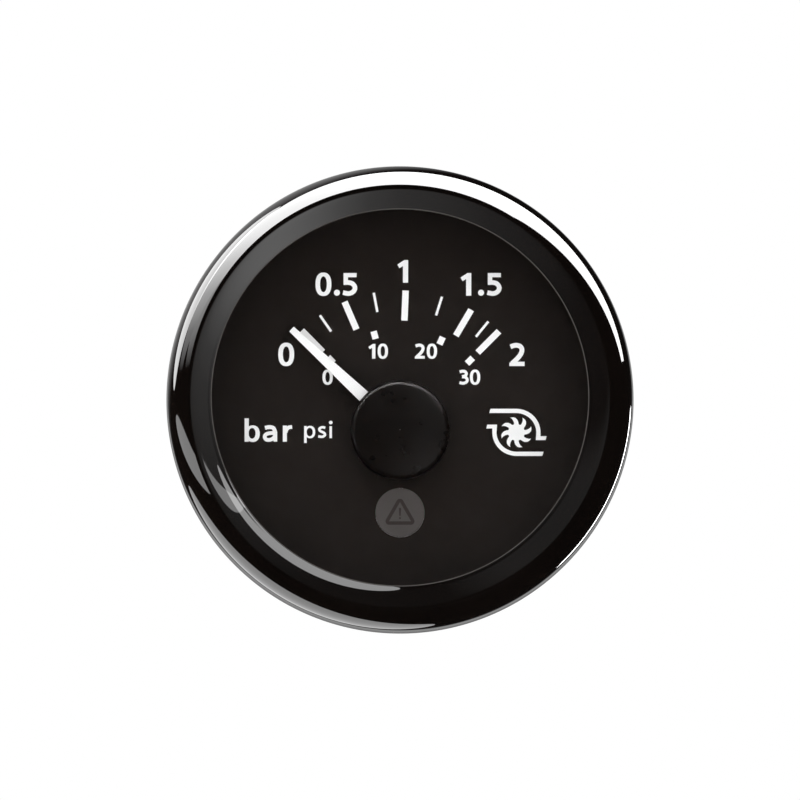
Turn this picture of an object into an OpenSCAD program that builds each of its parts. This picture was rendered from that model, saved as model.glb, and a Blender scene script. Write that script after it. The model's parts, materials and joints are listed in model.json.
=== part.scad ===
// Round panel gauge for boost pressure, with a geared stepper movement behind its dial.
// The panel's front face is the plane y = 0. The dial faces -Y, and +Z is up.
// Each piece is drawn with its own z towards the viewer and is then turned to face -Y.

/* [Barrel] */
// Diameter of the plain land that fits the panel's hole
barrel_d = 52; // [51.4:0.1:52.4]
// Depth of the barrel behind the panel's face
barrel_depth = 27; // [25:0.5:40]
// Wall of the barrel
barrel_t = 2; // [1.7:0.1:2.3]
// Wall across the back
back_t = 1.8; // [1.2:0.1:3]
// Length of the plain land
land_l = 3; // [2:0.5:4]

/* [Bezel] */
// Outside diameter of the bezel
bezel_d = 62; // [61.6:0.2:66]
// Width of the bezel's ring, from the window to the rim
bezel_w = 6.2; // [6:0.1:6.4]
// Width of the outer roll, from the crest to the rim
roll_w = 3; // [2.4:0.1:3.6]
// Height of the outer roll
roll_h = 3.5; // [2.5:0.1:5]
// Rise of the crest above the lens
crest_rise = 1; // [0.6:0.1:1.4]
// Height of the lip's inner edge
lip_h = 0.25; // [0.2:0.05:0.5]
// Height of the foot against the panel
foot_h = 1.1; // [0.8:0.1:2]

/* [Head] */
// Thickness of the panel gasket
gasket_t = 0.8; // [0.5:0.1:2]
// Thickness of the ledge that the gasket backs
ledge_t = 1; // [0.8:0.1:2]
// Wall of the collar that the bezel snaps on
collar_t = 1.4; // [1.2:0.1:1.5]
// Thickness of the light guide's flange
guide_flange_t = 0.6; // [0.4:0.1:1]
// Depth of the light guide behind its flange
guide_depth = 2.4; // [1.5:0.1:4]
// Thickness of the dial
dial_t = 0.4; // [0.3:0.1:1]
// Height of the spacer ring between the dial and the lens seal
spacer_h = 4; // [3.9:0.1:6]
// Thickness of the lens seal
seal_t = 0.4; // [0.3:0.1:1]
// Thickness of the lens
lens_t = 1.6; // [1:0.1:2.5]

/* [Pointer] */
// Distance of the pointer's axis below the gauge's centre
pivot_drop = 4.2; // [3.8:0.1:4.6]
// Length of the pointer from its axis to its tip
pointer_l = 19.6; // [12:0.1:20]
// Width of the pointer at its tip
pointer_tip_w = 0.86; // [0.5:0.02:2]
// Width of the pointer at its axis
pointer_root_w = 2.03; // [1.6:0.05:3]
// Thickness of the pointer
pointer_t = 0.8; // [0.5:0.1:1]
// Angle of the pointer on its stop, anticlockwise from three o'clock
pointer_a = 137; // [90:1:180]
// Diameter of the pointer's cap
cap_d = 13.1; // [10:0.1:16]
// Height of the pointer's cap
cap_h = 3.5; // [3.2:0.1:3.6]
// Slope of the cap's crown at its edge
crown_a = 10; // [4:1:14]
// Diameter of the pointer's shaft
shaft_d = 1.5; // [1:0.1:1.6]

/* [Warning light] */
// Distance of the warning light below the gauge's centre
lamp_drop = 15.07; // [14.6:0.01:15.2]
// Diameter of the warning light
lamp_d = 6.48; // [5:0.02:6.8]

/* [Movement] */
// Tooth size of the first pair, rotor pinion and intermediate wheel
first_module = 0.13; // [0.12:0.005:0.14]
// Tooth size of the second pair, intermediate pinion and output wheel
second_module = 0.16; // [0.15:0.005:0.165]
// Teeth of each pinion
pinion_teeth = 8; // [8:1:10]
// Teeth of the intermediate wheel
inter_teeth = 96; // [90:2:100]
// Teeth of the output wheel
output_teeth = 120; // [110:2:122]
// Distance of the rotor above the pointer's axis
rotor_offset = 11.5; // [11:0.1:11.8]
// Thickness of the output wheel
output_t = 1.2; // [0.9:0.1:2]
// Thickness of the intermediate wheel
inter_t = 0.8; // [0.6:0.1:1.5]
// Diameter of the rotor's magnet
magnet_d = 5; // [4:0.1:5.4]
// Length of the rotor's magnet
magnet_h = 3.5; // [3.4:0.1:5]
// Wall of the movement's case
case_t = 1; // [0.8:0.1:1.2]
// Length of each coil
coil_l = 10.5; // [8:0.1:10.8]

/* [Circuit board] */
// Height of the light box between the board and the light guide
light_box_h = 3.4; // [2.8:0.1:6]
// Thickness of the board
board_t = 1.6; // [1:0.1:2]
// Diameter of the bosses that the board is screwed to
boss_d = 4.8; // [4:0.1:5.2]
// Diameter of the screws' shanks
screw_d = 2; // [1.6:0.1:2.4]
// Length of the screws below their heads
screw_l = 7; // [5:0.5:12]

/* [Connector] */
// Width of the socket
socket_w = 12.6; // [12.4:0.1:13.4]
// Height of the socket
socket_h = 7.6; // [7.4:0.1:7.9]
// Wall of the socket
socket_t = 1.1; // [0.8:0.1:1.2]
// Reach of the socket behind the barrel
socket_reach = 2; // [1:0.5:6]
// Depth of the socket's mouth
socket_depth = 10; // [8:0.5:12]
// Distance between neighbouring pins
pin_pitch = 2.54; // [2.4:0.02:2.6]
// Width of each pin
pin_w = 0.64; // [0.5:0.02:0.7]
// Reach of the pins into the socket's mouth
pin_reach = 4.5; // [3:0.5:5.5]

/* [Clamp nut] */
// Depth of the nut along the barrel
nut_depth = 10; // [8:0.5:11]
// Distance from the panel's front face to the nut, a panel's thickness
nut_gap = 3; // [2.5:0.5:6]
// Diameter of the nut's body
nut_d = 57.4; // [57:0.2:58.4]
// Diameter of the nut's flange
nut_flange_d = 60.4; // [59.8:0.2:61]
// Thickness of the nut's flange
nut_flange_t = 1.6; // [1:0.1:3]
// Number of grip ribs round the nut
nut_ribs = 30; // [12:2:40]

/* [Hidden] */
$fn = 96;

// Clearances and overruns that many pieces share
eps = 0.5;          // overrun of every cut
touch = 0.02;       // gap between round faces that fit each other
run = 0.05;         // running clearance round a turning shaft
slip = 0.3;         // easy clearance round a loose piece
wheel_gap = 0.3;    // gap beside a wheel's face or its tips

// Levels of the head, from the panel's face forwards
ledge_z = gasket_t;
shelf_z = ledge_z + ledge_t;
dial_back_z = shelf_z + guide_flange_t;
dial_z = dial_back_z + dial_t;
collar_z = dial_z + spacer_h;
lens_back_z = collar_z + seal_t;
lens_z = lens_back_z + lens_t;
crest_z = lens_z + crest_rise;

// Levels behind the dial
guide_back_z = shelf_z - guide_depth;
board_z = guide_back_z - light_box_h;
board_back_z = board_z - board_t;
floor_z = back_t - barrel_depth;

// Radii of the head, from the window outwards
barrel_r = barrel_d / 2;
bore_r = barrel_r - barrel_t;
thread_step = 0.3;      // the thread's crests lie this far below the land
thread_r = barrel_r - thread_step;
relief = 0.3;           // groove between the land and the ledge
bezel_r = bezel_d / 2;
window_r = bezel_r - bezel_w;
dial_margin = 1.5;      // width of the dial under the bezel's lip
dial_r = window_r + dial_margin;
collar_r = dial_r + slip;
collar_out_r = collar_r + collar_t;
snap_rib = 0.7;         // rib that holds the bezel on the collar
snap_rib_h = 1;
snap_rib_z = shelf_z + snap_rib_h;
snap_top_share = 1 / 3; // share of the rib's height that stands straight
snap_top_z = snap_rib_z + snap_rib_h * snap_top_share;
snap_r = collar_out_r + snap_rib;
bezel_in_r = collar_out_r + slip;
groove_r = snap_r + slip;
ledge_r = groove_r + slip;
foot_step = 0.3;        // the roll stands this far inside the foot
flare_h = 2.1;          // height over which the roll flares out to the foot
roll_r = bezel_r - foot_step;
crest_r = bezel_r - roll_w;
roll_reach = 7.6;       // radius of the roll's ellipse across the bezel's face
roll_low_z = crest_z - roll_h;
roll_crest_a = acos((crest_r - roll_r + roll_reach) / roll_reach);
roll_steps = 16;
cone_steps = 8;
lens_r = collar_out_r;
lens_chamfer = 0.2;
key_w = 1.6;            // keys that stop the dial and the light guide from turning
key_t = 0.8;
barrel_chamfer = 0.8;

// The pointer, on an axis below the centre
pivot = [0, -pivot_drop];
pointer_lift = 1;       // gap between the dial and the pointer
pointer_z = dial_z + pointer_lift;
pointer_top_z = pointer_z + pointer_t;
cap_lift = 0.5;         // gap between the dial and the cap
cap_z = dial_z + cap_lift;
cap_r = cap_d / 2;
cap_t = 0.8;
cap_edge = 0.9;         // radius of the cap's rounded edge
crown_at_r = cap_r - cap_edge * (1 - sin(crown_a));
crown_round = crown_at_r / sin(crown_a);
crown_steps = 6;
hub_r = cap_r - cap_t - slip;
hub_boss_r = 1.6;
hub_boss_h = 0.8;
shaft_r = shaft_d / 2;
dial_hole_r = hub_boss_r + slip;

// The warning light's well, from the board to the dial
lamp = [0, -lamp_drop];
lamp_r = lamp_d / 2;
lamp_seat = 0.5;        // width of the light guide's rim under the lamp's lens
well_r = lamp_r - lamp_seat;
well_t = 0.5;

// The gear train. A pinion's teeth are moved out, and its wheel's in, by the same share of the tooth size.
pressure_a = 20;
tip_share = 1;
root_share = 1.25;
shift_share = 0.3;
backlash_share = 0.14;
wheel_flank_steps = 2;
pinion_flank_steps = 3;
function involute(a) = tan(a) * 180 / PI - a;
function pitch_r(teeth, size) = teeth * size / 2;
function tip_r(teeth, size, shift) = pitch_r(teeth, size) + size * (tip_share + shift);
function root_r(teeth, size, shift) = pitch_r(teeth, size) - size * (root_share - shift);
function base_r(teeth, size) = pitch_r(teeth, size) * cos(pressure_a);
function half_tooth_a(teeth, shift) =
    90 / teeth + (2 * shift * tan(pressure_a) - backlash_share) / teeth * 180 / PI;
function flank_a(teeth, size, shift, r) = half_tooth_a(teeth, shift) + involute(pressure_a)
    - involute(acos(min(1, base_r(teeth, size) / r)));

// One side of a tooth as pairs of radius and half angle, from the root to the tip
function flank(teeth, size, shift, steps) =
    let (root = root_r(teeth, size, shift), low = max(base_r(teeth, size), root),
        high = tip_r(teeth, size, shift))
    concat(root < low ? [[root, flank_a(teeth, size, shift, low)]] : [],
        [for (i = [0 : steps]) let (r = low + (high - low) * i / steps)
            [r, flank_a(teeth, size, shift, r)]]);
function polar(r, a) = [r * cos(a), r * sin(a)];
function gear_outline(teeth, size, shift, steps) =
    let (side = flank(teeth, size, shift, steps), last = len(side) - 1)
    [for (k = [0 : teeth - 1]) let (mid = 360 * k / teeth) each concat(
        [for (i = [0 : last]) polar(side[i][0], mid - side[i][1])],
        [for (i = [0 : last]) polar(side[last - i][0], mid + side[last - i][1])])];

// Places of the three turning axes
first_distance = pitch_r(pinion_teeth + inter_teeth, first_module);
second_distance = pitch_r(pinion_teeth + output_teeth, second_module);
inter_up = (pow(second_distance, 2) - pow(first_distance, 2) + pow(rotor_offset, 2)) / (2 * rotor_offset);
inter_across = sqrt(pow(second_distance, 2) - pow(inter_up, 2));
rotor = pivot + [0, rotor_offset];
inter = pivot + [inter_across, inter_up];
inter_to_output_a = atan2(-inter_up, -inter_across);
inter_to_rotor_a = atan2(rotor_offset - inter_up, -inter_across);
inter_tip_r = tip_r(inter_teeth, first_module, -shift_share);
output_tip_r = tip_r(output_teeth, second_module, -shift_share);

// Levels of the movement, from the board backwards
case_z = board_back_z;
cavity_z = case_z - case_t;
output_z = cavity_z - wheel_gap;
wheel_space = 0.6;      // space between the two wheels
inter_z = output_z - output_t - wheel_space;
inter_back_z = inter_z - inter_t;
mesh_margin = 0.2;      // a pinion stands this far past its wheel on either side
rotor_pinion_z = inter_z + mesh_margin;
rotor_pinion_back_z = inter_back_z - mesh_margin;
magnet_space = 0.4;
magnet_z = rotor_pinion_back_z - magnet_space;
magnet_back_z = magnet_z - magnet_h;
coil_z = (magnet_z + magnet_back_z) / 2;
foot_space = 0.8;       // space between the magnet and the case's floor
case_floor_z = magnet_back_z - foot_space;
case_back_z = case_floor_z - case_t;
case_split_share = 0.48;
case_split_z = case_z + (case_back_z - case_z) * case_split_share;

// Pivots and bearings of the movement
pin_r = 0.35;
pin_hole_r = pin_r + run;
pin_depth_share = 0.7;  // share of the case's wall that a pivot goes into
pin_depth = case_t * pin_depth_share;
pin_end_gap = 0.1;
bearing_r = 1.1;
arbor_r = 0.9;
shaft_hole_r = shaft_r + run;
collar_bearing_t = 1;
collar_bearing_r = shaft_hole_r + collar_bearing_t;
collar_bearing_h = 3;
foot_bearing_t = 0.7;
foot_bearing_r = shaft_hole_r + foot_bearing_t;
shaft_end_gap = 0.4;
web_share = 0.35;       // share of a wheel's thickness that its web is sunk by
rim_t = 1;
wheel_hub_r = 2;

// The stator and its two coils
leg_w = 2.4;
leg_x = inter_across + bearing_r + slip + leg_w / 2;
plate_t = 1.4;
plate_z = coil_z + plate_t / 2;
plate_back_z = coil_z - plate_t / 2;
magnet_r = magnet_d / 2;
stator_gap = 0.4;
stator_ring_t = 1.8;
stator_bore_r = magnet_r + stator_gap;
stator_ring_r = stator_bore_r + stator_ring_t;
coil_low_y = -6;
coil_top_y = coil_low_y + coil_l;
flange_t = 0.5;
flange_w = 4.6;
flange_h = 4.2;
spool_t = 0.4;
spool_gap = 0.1;
spool_in_w = leg_w + 2 * spool_gap;
spool_in_h = plate_t + 2 * spool_gap;
spool_w = spool_in_w + 2 * spool_t;
spool_h = spool_in_h + 2 * spool_t;
winding_inset = 0.2;
winding_round = 0.6;
block_l = 1.6;          // block on the bobbin that holds the pins
block_low_y = coil_low_y - flange_t - block_l;
yoke_w = 2.2;
yoke_y = block_low_y - spool_gap;
arm_w = 2.4;
centre_leg_w = 2.4;
eye_r = 2.4;            // widening of the centre leg round the shaft
eye_hole_r = shaft_r + 2 * slip;
post_r = 1;
motor_pin_w = 0.5;
motor_pin_spread = 2;
motor_pin_y = block_low_y + block_l / 2;
motor_pin_out = 0.8;
motor_pin_hole_r = 0.42;

// The movement's case, round the wheels and the stator
case_x = inter_across + inter_tip_r + wheel_gap + case_t;
case_top_y = rotor_offset + stator_ring_r + slip + case_t;
case_low_y = yoke_y - yoke_w - slip - case_t;
case_round = 3;
peg_r = 0.9;
peg_out = 0.6;
hook_w = 4;
hook_t = 0.7;
hook_up = 2.4;
hook_down = 2.5;
nub_t = 0.5;
nub_h = 0.8;
nub_w = 2;

// The board and what it carries
board_gap = 0.6;
board_r = bore_r - board_gap;
boss_r = boss_d / 2;
boss_inset = 0.4;
boss_at_r = board_r - boss_r - boss_inset;
boss_angles = [0, 180, 270];
boss_rib_t = 1.2;
screw_r = screw_d / 2;
screw_head_r = 1.8;
screw_head_h = 1.4;
screw_slot_w = 0.6;
screw_slot_l = 2.4;
screw_slot_t = 0.6;
chip_w = 4.4;
chip_h = 0.9;
chip_y = 7.6;
lead_w = 0.3;
lead_l = 0.7;
lead_t = 0.15;
lead_pitch = 0.65;
lead_count = 5;
regulator_w = 3.5;
regulator_l = 6.5;
regulator_h = 1.6;
regulator_y = -8;
regulator_lead_w = 0.7;
regulator_lead_l = 1.2;
regulator_tab_w = 3;
capacitor_d = 5;
capacitor_h = 5.4;
capacitor_y = 7.4;
capacitor_foot_w = 5.3;
capacitor_foot_h = 0.8;
small_chip_size = [1.6, 0.8, 0.5];
small_chip_pitch = [2.2, 1.8];
small_chip_y = -8.4;
chip_side_x = case_x + slip;
led_size = [2.8, 3.2, 1];
led_round = 1.1;
led_dish = 0.2;
led_at_r = 12.5;
led_angles = [30, 90, 150, 210, 330];
light_wall = 0.8;
light_hub_gap = 1.6;
light_hub_r = collar_bearing_r + light_hub_gap;
light_rib_angles = [60, 120, 245, 295];

// The connector, in line with the middle of the board's upper edge
board_edge = 1.6;
socket_y = board_r - board_edge - socket_h / 2;
socket_round = 0.8;
socket_end_z = -barrel_depth - socket_reach;
socket_floor_z = socket_end_z + socket_depth;
socket_in_w = socket_w - 2 * socket_t;
socket_in_h = socket_h - 2 * socket_t;
latch_w = 3;
latch_l = 2;
latch_in = 1.5;
pin_end_z = socket_floor_z - pin_reach;
pin_tip = 0.6;
pin_out = 0.8;
pin_rows = [-1 / 2, 1 / 2];
pin_columns = [-3 / 2, -1 / 2, 1 / 2, 3 / 2];
back_recess = 0.5;
back_hub_r = 6;
back_ring_r = 20.5;
back_rib_t = 1.2;
back_rib_count = 8;
back_pad = 1.6;

// The clamp nut
nut_r = nut_d / 2;
nut_bore_gap = 0.15;
nut_bore_r = thread_r + nut_bore_gap;
nut_z = -nut_gap;
nut_back_z = nut_z - nut_depth;
nut_counterbore_r = barrel_r + slip;
nut_counterbore_l = land_l + slip;
nut_flange_r = nut_flange_d / 2;
nut_rib_r = 0.8;
nut_chamfer = 0.5;

// Points on an ellipse's arc
function arc(middle, size, from, to, steps) = [for (i = [0 : steps])
    let (a = from + (to - from) * i / steps) middle + [size[0] * cos(a), size[1] * sin(a)]];

module faced() { rotate([90, 0, 0]) children(); }

module at(place) { translate([place[0], place[1], 0]) children(); }

module disc(r, low, high) { translate([0, 0, low]) cylinder(r = r, h = high - low); }

// A hole that overruns both of its ends
module hole(r, low, high) { disc(r, low - eps, high + eps); }

// A hole with its floor at the first level, which overruns the second
module blind_hole(r, low, high) { disc(r, low, high + eps); }

module ring(outer, inner, low, high) {
    difference() {
        disc(outer, low, high);
        hole(inner, low, high);
    }
}

module block(w, l, low, high) { translate([-w / 2, -l / 2, low]) cube([w, l, high - low]); }

module rounded_block(w, l, r, low, high) {
    block(w - 2 * r, l, low, high);
    block(w, l - 2 * r, low, high);
    for (i = [-1, 1], j = [-1, 1]) at([i * (w / 2 - r), j * (l / 2 - r)]) disc(r, low, high);
}

module gear(teeth, size, shift, steps, low, high) {
    translate([0, 0, low]) linear_extrude(high - low) polygon(gear_outline(teeth, size, shift, steps));
}

// Keys on the collar's inside at the top and the bottom, or the notches that take them
module keys(w, t, low, high) {
    for (side = [-1, 1]) at([0, side * (collar_r - t / 2)]) block(w, t, low, high);
}

module at_bosses() { for (a = boss_angles) at(polar(boss_at_r, a)) children(); }

module at_connector_pins() {
    for (i = pin_columns, j = pin_rows) at([i * pin_pitch, socket_y + j * pin_pitch]) children();
}

module at_motor_pins() {
    for (side = [-1, 1], i = [-1 / 2, 1 / 2])
        at(pivot + [side * leg_x + i * motor_pin_spread, motor_pin_y]) children();
}

module at_pegs() {
    for (side = [-1, 1]) at(pivot + [side * (case_x - case_round), case_top_y - case_round]) children();
}

module back_pattern() {
    difference() {
        ring(back_ring_r, back_hub_r, -barrel_depth - eps, back_recess - barrel_depth);
        for (i = [0 : back_rib_count / 2 - 1]) rotate([0, 0, (i + 1 / 2) * 360 / back_rib_count])
            block(2 * barrel_r, back_rib_t, -barrel_depth - 2 * eps, back_recess - barrel_depth + eps);
        at([0, socket_y]) block(socket_w + 2 * (slip + back_pad), socket_h + 2 * (slip + back_pad),
            -barrel_depth - 2 * eps, back_recess - barrel_depth + eps);
    }
}

module housing() {
    profile = [[0, -barrel_depth], [thread_r - barrel_chamfer, -barrel_depth],
        [thread_r, barrel_chamfer - barrel_depth], [thread_r, -land_l],
        [barrel_r, -land_l], [barrel_r, 0], [barrel_r - relief, 0], [barrel_r - relief, ledge_z],
        [ledge_r, ledge_z], [ledge_r, shelf_z], [collar_out_r, shelf_z], [collar_out_r, snap_rib_z],
        [snap_r, snap_rib_z], [snap_r, snap_top_z], [collar_out_r, snap_rib_z + snap_rib_h],
        [collar_out_r, collar_z], [collar_r, collar_z], [collar_r, shelf_z],
        [bore_r, shelf_z], [bore_r, floor_z], [0, floor_z]];
    color([0.05, 0.05, 0.055]) faced() {
        difference() {
            union() {
                rotate_extrude() polygon(profile);
                intersection() {
                    keys(key_w, key_t, shelf_z, dial_z);
                    disc(collar_r + collar_t / 2, shelf_z, dial_z);
                }
                at_bosses() disc(boss_r, floor_z, board_back_z);
                for (a = boss_angles) rotate([0, 0, a]) translate([boss_at_r + boss_r / 2, 0, 0])
                    translate([0, -boss_rib_t / 2, floor_z])
                    cube([bore_r + barrel_t / 2 - boss_at_r - boss_r / 2, boss_rib_t,
                        board_back_z - floor_z - board_t]);
            }
            at_bosses() blind_hole(screw_r + touch, board_z - screw_l - eps, board_back_z);
            at([0, socket_y]) block(socket_w + 2 * slip, socket_h + 2 * slip,
                -barrel_depth - eps, floor_z + eps);
            back_pattern();
        }
    }
}

module bezel_ring() {
    groove_low_z = snap_rib_z - run;
    lip_r = window_r + lip_h;
    cone_w = crest_r - lip_r;
    cone_h = crest_rise - lip_h;
    cone_round = (pow(cone_w, 2) + pow(cone_h, 2)) / (2 * cone_h);
    profile = concat([[bezel_r, ledge_z], [bezel_r, ledge_z + foot_h], [roll_r, ledge_z + foot_h + flare_h]],
        arc([roll_r - roll_reach, roll_low_z], [roll_reach, roll_h / sin(roll_crest_a)], 0, roll_crest_a,
            roll_steps),
        arc([crest_r, crest_z - cone_round], [cone_round, cone_round], 90 + asin(cone_w / cone_round) / cone_steps,
            90 + asin(cone_w / cone_round), cone_steps - 1),
        [[window_r, lens_z + lip_h / 2], [window_r, lens_z],
        [bezel_in_r, lens_z], [bezel_in_r, snap_rib_z + snap_rib_h + slip],
        [groove_r, snap_rib_z + snap_rib_h / 2], [groove_r, groove_low_z], [bezel_in_r, groove_low_z],
        [bezel_in_r, shelf_z + touch], [ledge_r + slip, shelf_z + touch], [ledge_r + slip, ledge_z]]);
    color([0.03, 0.03, 0.035]) faced() rotate_extrude() polygon(profile);
}

module front_lens() {
    color([0.85, 0.9, 0.95, 0.3]) faced() rotate_extrude() polygon([[0, lens_back_z],
        [lens_r - lens_chamfer, lens_back_z], [lens_r, lens_back_z + lens_chamfer],
        [lens_r, lens_z - lens_chamfer], [lens_r - lens_chamfer, lens_z], [0, lens_z]]);
}

module lens_seal() {
    color([0.1, 0.1, 0.1]) faced() ring(collar_out_r - slip, window_r + 2 * slip, collar_z, lens_back_z);
}

module spacer_ring() {
    color([0.07, 0.07, 0.07]) faced() ring(dial_r, window_r + slip, dial_z, collar_z);
}

module panel_gasket() {
    color([0.12, 0.12, 0.12]) faced() ring(ledge_r + slip, barrel_r + slip, 0, ledge_z);
}

module dial_plate() {
    color([0.12, 0.1, 0.09]) faced() difference() {
        disc(dial_r, dial_back_z, dial_z);
        at(pivot) hole(dial_hole_r, dial_back_z, dial_z);
        at(lamp) hole(lamp_r + touch, dial_back_z, dial_z);
        keys(key_w + 2 * slip, key_t + slip, dial_back_z - eps, dial_z + eps);
    }
}

module warning_light_lens() {
    color([0.3, 0.28, 0.27]) faced() at(lamp) disc(lamp_r, dial_back_z, dial_z);
}

module light_guide() {
    color([0.85, 0.9, 0.92, 0.5]) faced() difference() {
        union() {
            disc(dial_r, shelf_z, dial_back_z);
            disc(bore_r - slip, guide_back_z, shelf_z);
        }
        at(pivot) hole(dial_hole_r + slip, guide_back_z, dial_back_z);
        at(lamp) hole(well_r, guide_back_z, dial_back_z);
        keys(key_w + 2 * slip, key_t + slip, shelf_z - touch, dial_back_z + eps);
    }
}

module light_box() {
    color([0.93, 0.93, 0.9]) faced() difference() {
        union() {
            ring(board_r, board_r - light_wall, board_z, guide_back_z);
            intersection() {
                at(pivot) for (a = light_rib_angles) rotate([0, 0, a])
                    translate([0, -light_wall / 2, board_z])
                    cube([2 * board_r, light_wall, guide_back_z - board_z]);
                disc(board_r - light_wall / 2, board_z, guide_back_z);
            }
            at(pivot) disc(light_hub_r + light_wall, board_z, guide_back_z);
            at(lamp) disc(well_r + well_t, board_z, guide_back_z);
            at((pivot + lamp) / 2) block(light_wall, lamp_drop - pivot_drop, board_z, guide_back_z);
        }
        at(pivot) hole(light_hub_r, board_z, guide_back_z);
        at(lamp) hole(well_r, board_z, guide_back_z);
    }
}

module circuit_board() {
    color([0.06, 0.3, 0.16]) faced() difference() {
        disc(board_r, board_back_z, board_z);
        at(pivot) hole(collar_bearing_r + slip, board_back_z, board_z);
        at_bosses() hole(screw_r + slip, board_back_z, board_z);
        at_pegs() hole(peg_r + touch, board_back_z, board_z);
        at_motor_pins() hole(motor_pin_hole_r, board_back_z, board_z);
        at_connector_pins() hole(pin_w * sqrt(1 / 2) + touch, board_back_z, board_z);
    }
}

module led() {
    difference() {
        block(led_size[0], led_size[1], board_z, board_z + led_size[2]);
        blind_hole(led_round, board_z + led_size[2] - led_dish, board_z + led_size[2]);
    }
}

module backlight_leds() {
    color([0.95, 0.9, 0.65]) faced() for (a = led_angles) at(polar(led_at_r, a)) led();
}

module warning_led() { color([0.9, 0.85, 0.8]) faced() at(lamp) led(); }

module board_screws() {
    color([0.7, 0.7, 0.72]) faced() at_bosses() difference() {
        union() {
            disc(screw_r, board_z - screw_l, board_z);
            disc(screw_head_r, board_z, board_z + screw_head_h);
        }
        for (a = [0, 90]) rotate([0, 0, a]) block(screw_slot_l, screw_slot_w,
            board_z + screw_head_h - screw_slot_t, board_z + screw_head_h + eps);
    }
}

module control_chip() {
    color([0.08, 0.08, 0.09]) faced() at([chip_side_x + lead_l + chip_w / 2, chip_y]) {
        block(chip_w, chip_w, board_back_z - chip_h, board_back_z - lead_t);
        for (a = [0, 90, 180, 270], i = [0 : lead_count - 1]) rotate([0, 0, a])
            translate([chip_w / 2 - lead_l, (i - (lead_count - 1) / 2) * lead_pitch - lead_w / 2,
                board_back_z - lead_t]) cube([2 * lead_l, lead_w, lead_t]);
    }
}

module voltage_regulator() {
    color([0.09, 0.09, 0.1]) faced()
        at([chip_side_x + regulator_lead_l + regulator_w / 2, regulator_y]) {
            block(regulator_w, regulator_l, board_back_z - regulator_h, board_back_z);
            for (i = [-1, 0, 1]) translate([0, i * regulator_l / 3 - regulator_lead_w / 2, board_back_z - lead_t])
                cube([regulator_w / 2 + regulator_lead_l, regulator_lead_w, lead_t]);
            translate([-regulator_w / 2 - regulator_lead_l, -regulator_tab_w / 2, board_back_z - lead_t])
                cube([regulator_w, regulator_tab_w, lead_t]);
        }
}

module board_capacitor() {
    color([0.75, 0.75, 0.78]) faced() at([-chip_side_x - capacitor_foot_w / 2, capacitor_y]) {
        block(capacitor_foot_w, capacitor_foot_w, board_back_z - capacitor_foot_h, board_back_z);
        disc(capacitor_d / 2, board_back_z - capacitor_h, board_back_z - capacitor_foot_h);
    }
}

module small_chips() {
    across = small_chip_size[0] / 2;
    color([0.5, 0.42, 0.34]) faced() for (i = [0, 1], j = [-1, 0, 1])
        at([-chip_side_x - across - i * small_chip_pitch[0], small_chip_y + j * small_chip_pitch[1]])
            block(small_chip_size[0], small_chip_size[1], board_back_z - small_chip_size[2], board_back_z);
}

// The movement's outline, drawn in by an inset
module case_outline(inset, low, high) {
    at([0, (case_top_y + case_low_y) / 2]) rounded_block(2 * (case_x - inset),
        case_top_y - case_low_y - 2 * inset, case_round - inset, low, high);
}

module at_hooks() {
    for (side = [0, 180]) rotate([0, 0, side]) translate([case_x, 0, 0]) children();
}

module motor_case_front() {
    rotor_face_z = rotor_pinion_z + wheel_gap;
    color([0.88, 0.88, 0.85]) faced() difference() {
        union() {
            at(pivot) difference() {
                case_outline(0, case_split_z, case_z);
                case_outline(case_t, case_split_z - eps, cavity_z);
            }
            at(pivot) disc(collar_bearing_r, cavity_z, case_z + collar_bearing_h);
            at(rotor) disc(bearing_r, rotor_face_z, cavity_z);
            at_pegs() disc(peg_r, cavity_z, board_z + peg_out);
            at_hooks() block(2 * nub_t, nub_w, case_split_z + nub_h, case_split_z + 2 * nub_h);
        }
        at(pivot) hole(shaft_hole_r, cavity_z, case_z + collar_bearing_h);
        at(rotor) translate([0, 0, -eps]) disc(pin_hole_r, rotor_face_z, rotor_face_z + eps + pin_depth + pin_end_gap);
        at(inter) translate([0, 0, -eps]) disc(pin_hole_r, cavity_z, cavity_z + eps + pin_depth + pin_end_gap);
        at_motor_pins() hole(motor_pin_hole_r, cavity_z, case_z);
    }
}

module motor_case_rear() {
    rotor_foot_z = magnet_back_z - wheel_gap;
    inter_foot_z = inter_back_z - wheel_gap;
    shaft_foot_z = plate_back_z - slip;
    color([0.8, 0.8, 0.77]) faced() difference() {
        union() {
            at(pivot) difference() {
                case_outline(0, case_back_z, case_split_z);
                case_outline(case_t, case_floor_z, case_split_z + eps);
            }
            at(rotor) disc(bearing_r, case_floor_z, rotor_foot_z);
            at(inter) disc(bearing_r, case_floor_z, inter_foot_z);
            at(pivot) disc(foot_bearing_r, case_floor_z, shaft_foot_z);
            at(pivot) for (side = [-1, 1], y = [rotor_offset, yoke_y - yoke_w / 2])
                at([side * leg_x, y]) disc(post_r, case_floor_z, plate_back_z);
            at_hooks() difference() {
                translate([0, -hook_w / 2, case_split_z - hook_down])
                    cube([hook_t, hook_w, hook_down + hook_up]);
                block(4 * hook_t, nub_w + 2 * slip, case_split_z + nub_h - run, case_split_z + 2 * nub_h + run);
            }
        }
        at(rotor) blind_hole(pin_hole_r, rotor_foot_z - pin_depth - pin_end_gap, rotor_foot_z);
        at(inter) blind_hole(pin_hole_r, inter_foot_z - pin_depth - pin_end_gap, inter_foot_z);
        at(pivot) blind_hole(shaft_hole_r, case_floor_z, shaft_foot_z);
    }
}

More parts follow.
